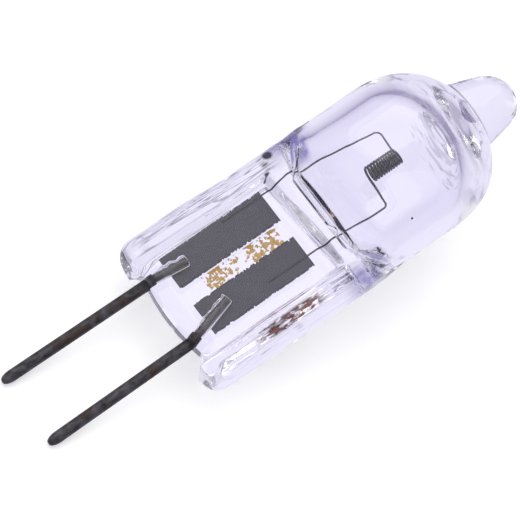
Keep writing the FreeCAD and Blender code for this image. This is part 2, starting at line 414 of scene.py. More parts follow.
def sealHeight(x, y):  # pressed seal with round edges; it fades out inside the bulb
    g = glass
    inside = halfWidthAt(x) - g["edgeRadius"]
    height = g["halfThickness"]
    if abs(y) > inside:
        height += math.sqrt(max(g["edgeRadius"] ** 2 - (abs(y) - inside) ** 2, 0.0)) - g["edgeRadius"]
    return height * (1 - ease((x - bulbStart) / g["sealFade"]))


def pressHeight(x, y):  # surface that the press leaves between the rails
    g = glass
    rise = g["halfThickness"] - g["webHalf"]
    toEnd = (x - g["recessEnd"] - g["recessSlant"] * y) * rise / g["recessRamp"]
    toSide = (abs(y) - g["recessHalf"]) * rise / g["recessDraft"]
    return g["webHalf"] + softMax(softMax(toEnd, toSide, g["recessCorner"]), 0.0, g["recessSoft"])


def glassHeight(x, y, radius):
    g = glass
    height = sealHeight(x, y)
    if radius is not None:  # the flattened tube swells out of the seal
        swell = radius * math.sqrt(max(1 - (y / halfWidthAt(x)) ** 2, 0.0))
        soft = g["neckSoft"] * (1 - ease((x - bulbStart) / g["neckSoftFade"])) + 1e-4  # never 0
        height = softMax(height, swell, soft)
    return softMin(height, pressHeight(x, y), g["recessSoft"])


def backLag(x, angle):  # the back jaw closed a little nearer the bulb than the front one
    g = glass
    under = ease(max(-math.sin(angle), 0.0) * g["lagRound"])
    return g["backLag"] * under * grow(x, *g["lagStart"]) * fade(x, *g["lagEnd"])


def sealStations():  # x, the tube's radius where it has one, and the share of its height that a ring has
    g = glass
    stations = [(0.0, None, 1 - i / g["endRings"]) for i in range(g["endRings"], 0, -1)]
    stations += [(x, None, 1.0) for x in g["footRings"]]
    neck = neckStations()
    stations += [(x, None, 1.0) for x in spread(g["footRings"][-1], neck[0].x, g["sealRings"])]
    for first, last in zip(neck, neck[1:]):
        steps = g["bulbRings"] if last is neck[-1] else max(1, round((last.x - first.x) / g["neckStep"]))
        stations += [(*first.lerp(last, share).xy, 1.0) for share in spread(0, 1, steps)]
    return stations


def sealRing(x, radius, share, angles):
    g = glass
    half = halfWidthAt(x) - drawnIn(x, g["railCorner"])
    section = g["footSection"]
    ring = []
    for angle in angles:
        y = half * math.cos(angle)
        onRail = grow(abs(y), g["recessHalf"] - g["railInside"], g["recessHalf"] + g["railOutside"])
        overhang = g["leftOverhang"] if y > 0 else g["rightOverhang"]
        bulge = max(g["footBulge"] * (1 - (y / g["recessHalf"]) ** 2), 0.0)
        foot = blend(bulge, overhang, onRail) * fade(x, 0.0, g["footLength"])
        if x < g["footLength"]:
            height = min(glassHeight(section, y * halfWidthAt(section) / half, None),
                         glassHeight(section, y, None))
            height -= drawnIn(x, blend(g["webEdge"], g["footEdge"], onRail))
        else:
            height = glassHeight(x, y, radius)
        drawn = g["leftDrawn"] * ease(y / half) * grow(x, *g["drawnStart"]) * fade(x, *g["drawnEnd"])
        sign = math.copysign(1, math.sin(angle))
        ring.append(Vector((x - foot + backLag(x, angle), y - drawn, sign * height * share)))
    return ring


def domeRing(x, radius, angles):  # fuller than round, most of all on the right
    g = glass
    lean = g["tipLean"] * grow(x, tipBase - g["leanBefore"], tipEnd)
    shoulder = math.sin(2 * math.atan2(radius, x - domeStart)) if x < tipBase else 0.0
    ring = []
    for angle in angles:
        full = g["domeFull"] * max(shoulder, 0.0) ** 2 * (g["fullMean"] - g["fullRight"] * math.cos(angle))
        wide = radius * (1 + full / g["bulbRadius"])
        ring.append(Vector((x + full * g["fullAlong"], lean + wide * math.cos(angle),
                            wide * math.sin(angle))))
    return ring


def outerRings():
    count = glass["around"]
    angles = [2 * math.pi * (k + 0.5) / count for k in range(count)]
    rings = [sealRing(x, radius, share, angles) for x, radius, share in sealStations()]
    return rings + [domeRing(x, radius, angles) for x, radius in domeStations()]


skin = {  # a noise is how fast it changes along the lamp and across it, and where it is read
    "streak": 0.06,
    "streakSide": (0.1, 0.6),  # past the recess's side
    "streakStart": (0.2, 1.5),
    "streakEnd": (9.5, 12.0),
    "streakNoise": (0.22, 3.0, 5),
    "fineNoise": (0.5, 8.0, 9),
    "fineShare": 0.4,
    "tipWrinkle": 0.05,
    "tipStart": (-0.3, 0.6),  # past the foot of the tip
    "tipNoise": (0.9, 1.8, 0),
    "domeRidge": 0.035,
    "domeStart": (17.0, 18.2),
    "domeEnd": (-0.2, 0.1),  # past the foot of the tip
    "domeNoise": (3.2, 0.5, 0),
    "bulbWave": 0.012,
    "waveStart": (0.0, 1.5),  # past the bulb's start
    "waveNoise": 0.55,
    "roughPatches": [((20.9, -1.35, 0.3), 0.75, 0.09), ((9.6, -3.6, 1.5), 1.0, 0.12),
                     ((9.2, 4.0, 1.2), 0.6, 0.1)],  # middle, size and depth
    "roughNoise": 3.5,
    "dents": [((10.5, -3.5, 2.2), 0.45, 0.12)],  # the same
}


def drawnNoise(spot, along, across, seed):
    return noise.noise(Vector((spot.x * along, spot.y * across, spot.z * across + seed)))


def drawnMarks(spot):  # long streaks on the rails, a wrinkled tip and faint waves elsewhere
    s = skin
    onRail = grow(abs(spot.y), *past(glass["recessHalf"], s["streakSide"]))
    onRail *= grow(spot.x, *s["streakStart"]) * fade(spot.x, *s["streakEnd"])
    streaks = drawnNoise(spot, *s["streakNoise"]) + s["fineShare"] * drawnNoise(spot, *s["fineNoise"])
    push = s["streak"] * onRail * streaks
    onTip = grow(spot.x, *past(tipBase, s["tipStart"]))
    push += s["tipWrinkle"] * onTip * drawnNoise(spot, *s["tipNoise"])
    onDome = grow(spot.x, *s["domeStart"]) * fade(spot.x, *past(tipBase, s["domeEnd"]))
    push += s["domeRidge"] * onDome * drawnNoise(spot, *s["domeNoise"])
    for middle, size, depth in s["roughPatches"]:
        rough = ease(1 - (spot - Vector(middle)).length / size)
        push += depth * rough * noise.noise(spot * s["roughNoise"])
    for middle, size, depth in s["dents"]:
        push += depth * ease(1 - (spot - Vector(middle)).length / size)
    onBulb = grow(spot.x, *past(bulbStart, s["waveStart"]))
    return push + s["bulbWave"] * onBulb * noise.noise(spot * s["waveNoise"])


def outerSkin():  # the outer skin with its marks pushed in along the normals
    bm = bmesh.new()
    skinRings(bm, outerRings())
    closeSkin(bm)
    bm.normal_update()
    pushes = [(vert, vert.normal * -abs(drawnMarks(vert.co))) for vert in bm.verts]
    for vert, push in pushes:
        vert.co += push
    return bm


# The hollow of the bulb, which starts as a flat slot in the neck

hollow = {
    "foot": 9.45,
    "footHalfWidth": 2.42,
    "footHalfThickness": 0.55,
    "footRound": 0.3,
    "flare": 1.9,
    "slotLength": 0.62,
    "step": 0.12,
    "wall": 0.86,
    "shoulderRadius": 2.9,
    "bridgeAt": -1.15,
    "bridgeWidth": 0.25,
    "bridgeRise": 0.4,
    "radius": 3.67,
    "domeHeight": 3.08,
    "cornerRadius": 2.8,
    "dimpleRadius": 0.75,
    "dimpleDepth": 0.9,
    "dimpleEase": 0.5,
    "dimpleEndRadius": 0.25,
    "dimpleEndDepth": 0.6,
    "around": 160,
    "footRings": 8,
    "slotRings": 5,
    "stepRings": 10,
    "slopeRings": 6,
    "shoulderArc": 16,
    "sideRings": 12,
    "cornerRings": 14,
    "capRings": 10,
    "dimpleRings": 8,
    "dimpleEndRings": 5,
}


def slopeStations():  # the neck's slope and shoulder, one wall inside the outer skin
    g, h = glass, hollow
    root, top = Vector((g["sealLength"], g["neckRoot"], 0)), Vector((bulbStart, g["bulbRadius"], 0))
    along = (top - root).normalized()
    inner = root + Vector((along.y, -along.x, 0)) * h["wall"]
    stepTop = h["foot"] + h["slotLength"] + h["step"]
    start = inner + along * ((stepTop - inner.x) / along.x)
    corner = inner + along * ((h["radius"] - inner.y) / along.y)
    spots = roundedPath([start, corner, Vector((domeStart, h["radius"], 0))], [h["shoulderRadius"]],
                        h["shoulderArc"])
    return [start] + [start.lerp(spots[1], u) for u in spread(0, 1, h["slopeRings"])] + spots[2:-1]


def slotStations(slope):  # x, inset, half height and share of the slot in it
    h = hollow
    slotStart, slotEnd = h["foot"] + h["footRound"], h["foot"] + h["slotLength"]
    stations = [(h["foot"], h["footRound"], 0.0, 1.0)]
    for angle in spread(0, math.pi / 2, h["footRings"]):
        inset = 1 - math.sin(angle)
        stations.append((h["foot"] + h["footRound"] * (1 - math.cos(angle)), h["footRound"] * inset,
                         h["footHalfThickness"] * (1 - inset), 1.0))
    stations += [(x, 0.0, h["footHalfThickness"], 1.0) for x in spread(slotStart, slotEnd, h["slotRings"])]
    for share in spread(0, 1, h["stepRings"]):
        stations.append((slotEnd + h["step"] * share, 0.0,
                         blend(h["footHalfThickness"], slope[0].y, share), 1 - share))
    return stations + [(spot.x, 0.0, spot.y, 0.0) for spot in slope[1:]]


def slotRing(x, inset, halfHeight, inSlot):
    h = hollow
    flared = ease((x - h["foot"]) / h["flare"])
    halfWidth = blend(h["footHalfWidth"], halfWidthAt(x) - h["wall"], flared) - inset
    ring = []
    for angle in fullTurn(h["around"]):
        y = halfWidth * math.cos(angle)
        bridge = h["bridgeRise"] * math.exp(-(((y - h["bridgeAt"]) / h["bridgeWidth"]) ** 2))
        inwards = bridge * inSlot * (1 - ease((x - h["foot"]) / h["slotLength"]))
        lag = backLag(x, angle) * (1 - inSlot)
        ring.append(Vector((x + inwards + lag, y, halfHeight * math.sin(angle))))
    return ring


def capStations(start):  # x and radius along the bulb's side, over the dome and into the dimple
    h = hollow
    cornerY = h["radius"] - h["cornerRadius"]
    cornerAngle = 2 * math.atan((h["domeHeight"] - h["cornerRadius"]) / cornerY)
    capRadius = h["cornerRadius"] + cornerY / math.sin(cornerAngle)
    top = domeStart + h["domeHeight"]
    dimpleAngle = math.asin(h["dimpleRadius"] / capRadius)
    cornerCentre, capCentre = Vector((domeStart, cornerY)), Vector((top - capRadius, 0))
    spots = [Vector((x, h["radius"])) for x in spread(start, domeStart, h["sideRings"])]
    spots += [onArc(cornerCentre, h["cornerRadius"], a)
              for a in spread(math.pi / 2, cornerAngle, h["cornerRings"])]
    spots += [onArc(capCentre, capRadius, a) for a in spread(cornerAngle, dimpleAngle, h["capRings"])]
    edge = spots[-1]
    last = Vector((top + h["dimpleDepth"], h["dimpleEndRadius"]))
    spots += [Vector((blend(edge.x, last.x, u), blend(edge.y, last.y, blend(u, ease(u), h["dimpleEase"]))))
              for u in spread(0, 1, h["dimpleRings"])]
    spots += [Vector((last.x + last.y * math.sin(a) * h["dimpleEndDepth"], last.y * math.cos(a)))
              for a in spread(0, math.pi / 2, h["dimpleEndRings"])]
    return spots


def hollowRings():
    slope = slopeStations()
    rings = [slotRing(*station) for station in slotStations(slope)]
    for x, radius in capStations(slope[-1].x):
        rings.append([Vector((x, radius * math.cos(a), radius * math.sin(a)))
                      for a in fullTurn(hollow["around"])])
    return rings


# Pins, foils and wire

pins = {
    "left": {"lap": 1.1, "offset": 0.02, "foilY": 1.98},
    "right": {"lap": 1.6, "offset": 0.14, "foilY": -1.08},
    "length": 9.45,
    "tipSpacing": 4.13,
    "spacing": 3.94,
    "nose": 0.6,
    "endRadius": 0.14,
    "bendStart": 0.05,
    "bendRadius": 1.0,
    "sides": 40,
    "noseRings": 10,
    "shaftRings": 30,
    "bendArc": 6,
}
foils = {
    "start": 1.15,
    "length": 6.55,
    "width": 2.0,
    "thickness": 0.035,
    "top": -0.295,
    "ragged": 0.16,
    "straight": 0.7,  # share of the half width that stays straight
    "bite": 0.7,
    "biteNoise": 2.9,
    "tooth": 0.9,
    "toothNoise": 11.0,
    "cells": (240, 12),
}
foilEnd = foils["start"] + foils["length"]


def pinPath(side):  # from the nose to the end on the foil
    p = pins
    s = 1 if side == "left" else -1
    exitY = pinExitY[side]
    tipY = exitY + s * (p["tipSpacing"] - p["spacing"]) / 2
    out = Vector((-p["length"], tipY - exitY, 0)).normalized()
    bend = Vector((0, exitY, 0)) - out * p["bendStart"]
    end = Vector((foils["start"] + p[side]["lap"], p[side]["foilY"] + p[side]["offset"], 0))
    return roundedPath([Vector((0, exitY, 0)) + out * p["length"], bend, end], [p["bendRadius"]],
                       p["bendArc"])


def makePin(side, material):
    p = pins
    corners = pinPath(side)
    tip, straight = corners[0], corners[1]
    out = (straight - tip).normalized()
    path, radii = [tip, tip], [0.0, p["endRadius"]]
    blunt = 1 - (p["endRadius"] / pinRadius) ** 2
    for u in spread(0, p["nose"], p["noseRings"]):
        path.append(tip + out * u)
        radii.append(pinRadius * math.sqrt(1 - blunt * (1 - u / p["nose"]) ** 2))
    first = path[-1]
    shaft = [first.lerp(straight, share) for share in spread(0, 1, p["shaftRings"])] + corners[2:]
    path += shaft + [corners[-1]]
    radii += [pinRadius] * len(shaft) + [0.0]
    along = (corners[-1] - corners[-2]).normalized()
    rings = tubeRings([path[0] - out * nudge] + path[1:-1] + [path[-1] + along * nudge], radii, p["sides"])
    rings[0] = [tip] * p["sides"]
    rings[-1] = [corners[-1]] * p["sides"]
    bm = bmesh.new()
    skinRings(bm, rings)
    closeSkin(bm)
    return addPiece("pin" + side.capitalize(), bm, material, ["contact_pin_" + side])


def makeFoil(side, material):
    f = foils
    middle = pins[side]["foilY"]
    bm = bmesh.new()
    bmesh.ops.create_grid(bm, x_segments=f["cells"][0], y_segments=f["cells"][1], size=0.5)
    centre = Vector((f["start"] + f["length"] / 2, middle, f["top"] - f["thickness"]))
    for vert in bm.verts:  # each long edge reads its own part of the noise
        x, y = vert.co.x * f["length"], vert.co.y * f["width"]
        edge = max(abs(vert.co.y) * 2 - f["straight"], 0.0) / (1 - f["straight"])
        bites = noise.noise(Vector((x * f["biteNoise"], math.copysign(9, y) + middle, 0.3)))
        teeth = noise.noise(Vector((x * f["toothNoise"], math.copysign(4, y), 2.3 + middle)))
        inwards = f["ragged"] * edge * max(f["bite"] * bites + f["tooth"] * teeth, 0.0)
        vert.co = centre + Vector((x, y - math.copysign(inwards, y), 0))
    rim = bmesh.ops.extrude_face_region(bm, geom=bm.faces[:])["geom"]
    bmesh.ops.translate(bm, verts=newVerts(rim), vec=(0, 0, f["thickness"]))
    bmesh.ops.recalc_face_normals(bm, faces=bm.faces)
    return addPiece("foil" + side.capitalize(), bm, material, ["foil_" + side])


wire = {
    "radius": 0.05,
    "coilWire": 0.062,
    "sides": 12,
    "turns": 11,
    "pitch": 0.176,
    "coilRadius": 0.42,
    "coilStart": 12.97,
    "coilRise": 0.35,
    "coilReach": 1.2,
    "perTurn": 40,
    "lap": 2.6,
    "leftOffset": 0.72,
    "rightOffset": -0.33,
    "leftReach": 1.85,
    "rightReach": 1.83,
    "kink": 0.1,
    "kinkStart": 1.0,
    "kinkEnd": 1.75,
    "kinkRadius": 0.5,
    "bendLeft": 0.35,
    "bendRight": 0.22,
    "bendArc": 8,
    "sunk": 0.008,
}


def wirePath():
    w = wire
    z = foils["top"] + w["radius"] - w["sunk"]
    coil = []
    for i in range(w["turns"] * w["perTurn"] + 1):
        turn = i / w["perTurn"]
        angle = 2 * math.pi * turn
        coil.append(Vector((w["coilStart"] + w["pitch"] * turn,
                            w["coilRise"] + w["coilRadius"] * math.sin(angle),
                            -w["coilRadius"] * math.cos(angle))))
    along = Vector((w["pitch"] / (2 * math.pi * w["coilRadius"]), 1, 0)).normalized()
    legStart = foilEnd - w["lap"]
    rightY = pins["right"]["foilY"] + w["rightOffset"]
    leftY = pins["left"]["foilY"] + w["leftOffset"]
    rightLeg = roundedPath([Vector((legStart, rightY, z)), Vector((foilEnd + w["kinkStart"], rightY, z)),
                            coil[0] - along * w["rightReach"], coil[0]],
                           [w["kinkRadius"], w["bendRight"]], w["bendArc"])
    leftLeg = roundedPath([coil[-1], coil[-1] + along * w["leftReach"],
                           Vector((foilEnd + w["kinkEnd"], leftY + w["kink"], z)),
                           Vector((foilEnd + w["kinkStart"], leftY, z)), Vector((legStart, leftY, z))],
                          [w["bendLeft"], w["kinkRadius"], w["kinkRadius"]], w["bendArc"])
    return rightLeg[:-1] + coil + leftLeg[1:]


def wireRadius(spot):  # the coil is wound of slightly thicker wire than the legs
    w = wire
    coilEnd = w["coilStart"] + w["pitch"] * w["turns"]
    nearAxis = math.hypot(spot.y - w["coilRise"], spot.z) < w["coilRadius"] * w["coilReach"]
    alongCoil = w["coilStart"] - w["radius"] < spot.x < coilEnd + w["radius"]
    return w["coilWire"] if nearAxis and alongCoil else w["radius"]


def makeWire(material):
    path = wirePath()
    radii = [0.0] + [wireRadius(spot) for spot in path] + [0.0]
    first = path[0] - (path[1] - path[0]).normalized() * nudge
    last = path[-1] + (path[-1] - path[-2]).normalized() * nudge
    bm = bmesh.new()
    skinRings(bm, tubeRings([first] + path + [last], radii, wire["sides"]))
    closeSkin(bm)
    return addPiece("filamentWire", bm, material, ["filament"])


# Small hollows in the glass: gaps round the pin ends and a bubble by the tip

gaps = {  # where the glass drew back from a pin's end
    "start": 0.35,
    "width": 0.03,
    "bulge": 0.1,
    "beyond": 0.1,
    "closing": (0.4, 0.75, 0.93, 1.0),  # shares of the end beyond the pin
    "step": 0.08,
    "openRings": 6,
    "bulgeRings": 8,
    "ragged": 0.6,
    "raggedNoise": 3,
    "sides": 48,
}
bubble = {  # drawn out when the exhaust tube was melted shut
    "first": (19.5, 1.2, 0.5),
    "last": (20.85, 1.1, 0.45),
    "radius": 0.05,
    "rings": 16,
    "sides": 16,
}


def gapPath(side):
    corners = pinPath(side)[1:]
    fine = []
    for first, last in zip(corners, corners[1:]):
        steps = max(2, round((last - first).length / gaps["step"]))
        fine += [first.lerp(last, share) for share in spread(0, 1, steps)]
    inside = [spot for spot in fine if spot.x > gaps["start"]]
    end = inside[-1] + (inside[-1] - inside[-2]).normalized() * gaps["beyond"]
    return inside + [inside[-1].lerp(end, share) for share in gaps["closing"]]


def gapRings(side):
    path = gapPath(side)
    closingRings = len(gaps["closing"])
    radii, swells = [], []
    for i in range(len(path)):
        left = len(path) - 1 - i
        closing = math.sqrt(1 - (1 - min(left, closingRings) / closingRings) ** 2)
        radii.append((pinRadius + gaps["width"] * ease(i / gaps["openRings"])) * closing)
        swells.append(ease(i / gaps["bulgeRings"]) * ease(left / closingRings))
    rings = tubeRings([path[0] - Vector((nudge, 0, 0))] + path, [0.0] + radii, gaps["sides"])
    lowest = foils["top"] - foils["thickness"] / 2
    scale = gaps["raggedNoise"]
    for ring, middle, swell in zip(rings[1:], path, swells):
        for spot in ring:
            ragged = gaps["ragged"] + noise.noise(Vector((spot.x * scale, spot.y * scale, 4.0)))
            spot.y += gaps["bulge"] * swell * max(spot.y - middle.y, 0.0) / pinRadius * ragged
            spot.z = max(spot.z, lowest)
    return rings


def bubbleRings():
    first, last = Vector(bubble["first"]), Vector(bubble["last"])
    shares = [0.0] + spread(0, 1, bubble["rings"])
    path = [first.lerp(last, share) for share in shares]
    radii = [bubble["radius"] * math.sqrt(max(4 * share * (1 - share), 0.0)) for share in shares]
    return tubeRings(path, radii, bubble["sides"])


def makeGlass(material):
    bm = outerSkin()
    for rings in (hollowRings(), gapRings("left"), gapRings("right"), bubbleRings()):
        inner = bmesh.new()
        skinRings(inner, rings)
        closeSkin(inner, inward=True)
        shell = bpy.data.meshes.new("innerShell")
        inner.to_mesh(shell)
        inner.free()
        bm.from_mesh(shell)
        bpy.data.meshes.remove(shell)
    return addPiece("quartzEnvelope", bm, material, ["quartz_envelope"])


# Print: what is left of a worn amber mark on the back of the web

mark = {
    "start": 2.5,
    "end": 7.3,
    "low": -0.02,
    "high": 1.02,
    "depth": -1.1,
    "thickness": 0.012,
    "cell": 0.03,
    "blots": [(3.15, 0.62), (5.6, 0.55), (6.75, 0.6)],  # middle of each group and its half length
    "between": 0.3,
    "blotPull": 0.35,
    "grain": 5.2,
    "fineGrain": 11,
    "fineShare": 0.5,
    "bare": 0.2,
}


def isBare(face):
    m = mark
    x, y, _ = face.calc_center_median()
    grain = noise.noise(Vector((x * m["grain"], y * m["grain"], 1.7)))
    grain += m["fineShare"] * noise.noise(Vector((x * m["fineGrain"], y * m["fineGrain"], 4.1)))
    near = max(1 - ((x - middle) / reach) ** 2 for middle, reach in m["blots"])
    return grain + m["blotPull"] * max(near, -m["between"]) < m["bare"]


def makeMark(material):
    m = mark
    long, wide = m["end"] - m["start"], m["high"] - m["low"]
    bm = bmesh.new()
    bmesh.ops.create_grid(bm, x_segments=round(long / m["cell"]), y_segments=round(wide / m["cell"]),
                          size=0.5)
    for vert in bm.verts:
        across, up = vert.co.x + 0.5, vert.co.y + 0.5
        vert.co = Vector((m["start"] + across * long, m["low"] + up * wide, m["depth"]))
    bmesh.ops.delete(bm, geom=[face for face in bm.faces if isBare(face)], context="FACES")
    bmesh.ops.delete(bm, geom=[vert for vert in bm.verts if not vert.link_faces], context="VERTS")
    grown = bmesh.ops.extrude_face_region(bm, geom=bm.faces[:])["geom"]
    bmesh.ops.translate(bm, verts=newVerts(grown), vec=(0, 0, -m["thickness"]))
    bmesh.ops.recalc_face_normals(bm, faces=bm.faces)
    return addPiece("amberMark", bm, material, [])


# Glass material: clear quartz with stains and painted shade, a band being its middle, half width and soft
# edge

stainsAndShade = {
    # painted shade: the violet of the neck's sides
    "neckShadeViolet": colour(84, 76, 146),
    "smoke": colour(62, 26, 20),
    # near black, for a spot on the left rail, a speck and a scratch
    "nearBlack": colour(12, 10, 16),
    # painted shade: grey for the lines on the rails, the ramp and the dome
    "shadeGrey": colour(86, 80, 100),
    # painted shade: dark for the outlines round the slot and the patches on the dome
    "edge": colour(52, 48, 60),
    "cloudScale": 0.9,
    "neckBand": (9.75, 1.1, 0.5),  # painted shade: violet on the neck's two sides
    "neckSlant": -0.12,
    "neckOut": (3.3, 4.1),
    "neckLevel": 1.75,
    "neckLeft": 0.05,
    "smokeAlong": (4.7, 2.1, 0.5),  # brown on the right rail
    "smokeAcross": (-3.9, 0.33, 0.1),
    "fleckStretch": (0.9, 2.2, 2.2),
    "fleckScale": 2.2,
    "fleckStops": (0.4, 0.5),
    "lineStretch": (0.07, 1.3, 1.3),  # painted shade: thin dark lines along the rails
    "lineScale": 1.6,
    "lineBand": (0.5, 0.015, 0.006),
    "lineAcross": (3.9, 0.7, 0.15),
    "lineAlong": (4.6, 4.4, 0.5),
    "lineShare": 0.8,
    "rampBand": (0.18, 0.06),  # painted shade: half width and soft edge round the middle of the recess's ramp
    "rampInside": 0.1,
    "rampSoft": 0.1,
    "rampFront": (1.0, 1.1),
    "rampShare": 0.5,
    "slotFoot": (0.05, 0.09, 0.04),  # painted shade round the slot: from the hollow's foot
    "slotFootHigh": (0.0, 0.5, 0.05),
    "slotStep": (0.7, 0.08, 0.04),
    "slotStepHigh": (0.0, 0.85, 0.05),
    "slotAcross": (0.0, 2.6, 0.1),
    "slotShare": 0.8,
    # a black spot on the left rail, where the neck starts
    "blackSpot": (8.97, 4.05, 0),
    "blackSpotSize": (0.3, 0.1),  # radius and soft edge
    "crease": (0.1, 0.05, 0.03),  # painted shade in the crease: from the foot of the tip
    "creaseShare": 0.8,
    # painted shade: dark wrinkle streaks on the dome before the tip
    "wrinkleStretch": (2.4, 0.35, 0.35),
    "wrinkleScale": 1.4,
    "wrinkleStops": (0.54, 0.6),
    "wrinkleAlong": (17.9, 0.75, 0.2),
    "wrinkleAcross": (-0.6, 2.6, 0.6),
    "wrinkleShare": 0.5,
    # painted shade: dark patches on the dome, each a middle and a size
    "domeShadeSpots": [((17.9, 1.35, 3.25), 0.3), ((17.7, -2.8, 2.35), 0.18)],
    "darkSoft": 0.15,
    "darkLevel": 1.5,
    "speck": (12.76, -3.53, 2.84),
    "speckSize": (0.075, 0.02),
    "scratch": (15.65, -3.25, 3.15),
    "scratchRing": (0.42, 0.03, 0.015),
    "scratchScale": 1.6,
    "scratchStops": (0.48, 0.55),
    "scratchShare": 0.5,
}


def fallOff(mat, away, size, soft):  # 1 up to a size, then 0 past a soft edge
    return mat.node("ShaderNodeMapRange", {"interpolation_type": "SMOOTHSTEP"},
                    [away, size - soft, size + soft, 1.0, 0.0])


def bandMask(mat, value, band, start=0.0):  # 1 inside a band, falling off to 0
    middle, half, soft = band
    return fallOff(mat, mat.absolute(value - (start + middle)), half, soft)


def risingMask(mat, value, reach):
    return mat.node("ShaderNodeMapRange", None, [value, *reach])


# painted shade: violet clouds on the neck's two outer sides
def neckShadeMask(mat, x, y, cloudy):
    s = stainsAndShade
    sides = bandMask(mat, x + y * s["neckSlant"], s["neckBand"])
    sides = sides * risingMask(mat, mat.absolute(y), s["neckOut"])
    return sides * cloudy * (y * s["neckLeft"] + s["neckLevel"])


def smokeMask(mat, x, y):
    s = stainsAndShade
    smoke = bandMask(mat, x, s["smokeAlong"]) * bandMask(mat, y, s["smokeAcross"])
    flecks = mat.noise(mat.objectSpots(s["fleckStretch"]), s["fleckScale"])
    return smoke * mat.climb(flecks, *s["fleckStops"])


# painted shade: thin dark lines along the rails
def railShadeLines(mat, x, y):
    s = stainsAndShade
    drawn = mat.noise(mat.objectSpots(s["lineStretch"]), s["lineScale"], 1.0)
    lines = bandMask(mat, drawn, s["lineBand"]) * bandMask(mat, mat.absolute(y), s["lineAcross"])
    return lines * bandMask(mat, x, s["lineAlong"]) * s["lineShare"]


def rampShadeLine(mat, x, y, z):  # painted shade along the end of the recess, on the front
    g, s = glass, stainsAndShade
    middle = g["recessEnd"] + g["recessRamp"] / 2
    line = bandMask(mat, x - y * g["recessSlant"], (middle, *s["rampBand"]))
    line = line * bandMask(mat, y, (0.0, g["recessHalf"] - s["rampInside"], s["rampSoft"]))
    return line * risingMask(mat, z, s["rampFront"]) * s["rampShare"]


def slotShadeLines(mat, x, y, z):  # painted shade round the flat slot that the hollow starts with
    s = stainsAndShade
    lines = (bandMask(mat, x, s["slotFoot"], hollow["foot"]) * bandMask(mat, z, s["slotFootHigh"])
             + bandMask(mat, x, s["slotStep"], hollow["foot"]) * bandMask(mat, z, s["slotStepHigh"]))
    return lines * bandMask(mat, y, s["slotAcross"]) * s["slotShare"]


def domeShadeLines(mat, x, y):  # painted shade: the crease at the foot of the tip, and wrinkles before it
    s = stainsAndShade
    wrinkled = mat.noise(mat.objectSpots(s["wrinkleStretch"]), s["wrinkleScale"], 2.0)
    wrinkled = mat.climb(wrinkled, *s["wrinkleStops"])
    wrinkled = wrinkled * bandMask(mat, x, s["wrinkleAlong"]) * bandMask(mat, y, s["wrinkleAcross"])
    return bandMask(mat, x, s["crease"], tipBase) * s["creaseShare"] + wrinkled * s["wrinkleShare"]


def scratchMask(mat, spots):  # a broken ring
    s = stainsAndShade
    ring = bandMask(mat, mat.distance(spots, s["scratch"]), s["scratchRing"])
    return ring * mat.climb(mat.noise(spots, s["scratchScale"]), *s["scratchStops"]) * s["scratchShare"]


def glassMaterial():
    s = stainsAndShade
    material, mat = newMaterial("quartzGlass")
    spots = mat.objectSpots()
    x, y, z = (mat.node("ShaderNodeSeparateXYZ", None, [spots], out) for out in range(3))
    cloudy = mat.noise(spots, s["cloudScale"])
    # painted shade: violet on the neck
    base = mat.mixColour(neckShadeMask(mat, x, y, cloudy), glass["tint"], s["neckShadeViolet"])
    base = mat.mixColour(smokeMask(mat, x, y), base, s["smoke"])
    # painted shade: lines on the rails and along the recess's ramp
    base = mat.mixColour(railShadeLines(mat, x, y) + rampShadeLine(mat, x, y, z), base, s["shadeGrey"])
    # painted shade: outlines round the slot
    base = mat.mixColour(slotShadeLines(mat, x, y, z), base, s["edge"])
    # a black spot on the left rail
    flat = mat.node("ShaderNodeCombineXYZ", None, [x, y])
    nearBlack = fallOff(mat, mat.distance(flat, s["blackSpot"]), *s["blackSpotSize"])
    base = mat.mixColour(nearBlack, base, s["nearBlack"])
    # painted shade: the crease at the tip's foot and wrinkles on the dome
    base = mat.mixColour(domeShadeLines(mat, x, y), base, s["shadeGrey"])
    # painted shade: dark patches on the dome
    for middle, size in s["domeShadeSpots"]:
        dark = fallOff(mat, mat.distance(spots, middle), size, s["darkSoft"])
        base = mat.mixColour(dark * cloudy * s["darkLevel"], base, s["edge"])
    speck = fallOff(mat, mat.distance(spots, s["speck"]), *s["speckSize"])
    base = mat.mixColour(speck + scratchMask(mat, spots), base, s["nearBlack"])
    shade(mat, Base_Color=base, Roughness=glass["roughness"], IOR=glass["ior"], Transmission_Weight=1.0)
    return material


# Metal and print materials

pinFinish = {
    "dark": colour(26, 25, 27),
    "light": colour(76, 73, 79),
    "mottleStretch": (0.6, 1, 1),
    "mottleScale": 3.2,
    "mottleStops": (0.35, 0.65),
    "brown": colour(50, 33, 22),
    "patchStretch": (0.8, 1.5, 1.5),
    "patchScale": 1.1,
    "patchStops": (0.5, 0.58),
    "patchShare": 0.8,
    "drawnStretch": (0.15, 1, 1),
    "drawnScale": 9.0,
    "bump": (0.3, 0.00005),  # strength, and depth in metres
    "roughness": 0.5,
    "metallic": 0.3,
}
foilFinish = {
    "dark": colour(62, 59, 73),
    "light": colour(81, 78, 94),
    "rolledStretch": (0.3, 1, 1),
    "rolledScale": 6.0,
    "bump": (0.2, 0.00002),
    "roughness": 0.5,
    "metallic": 0.3,
}
wireFinish = {
    "dark": colour(62, 58, 66),
    "light": colour(96, 92, 102),
    "drawnScale": 12.0,
    "roughness": 0.4,
    "metallic": 0.7,
}
markFinish = {
    "amber": colour(236, 176, 44),
    "yellow": colour(255, 220, 96),
    "toneScale": 4.0,
    "roughness": 0.5,
    "through": 0.6,
}


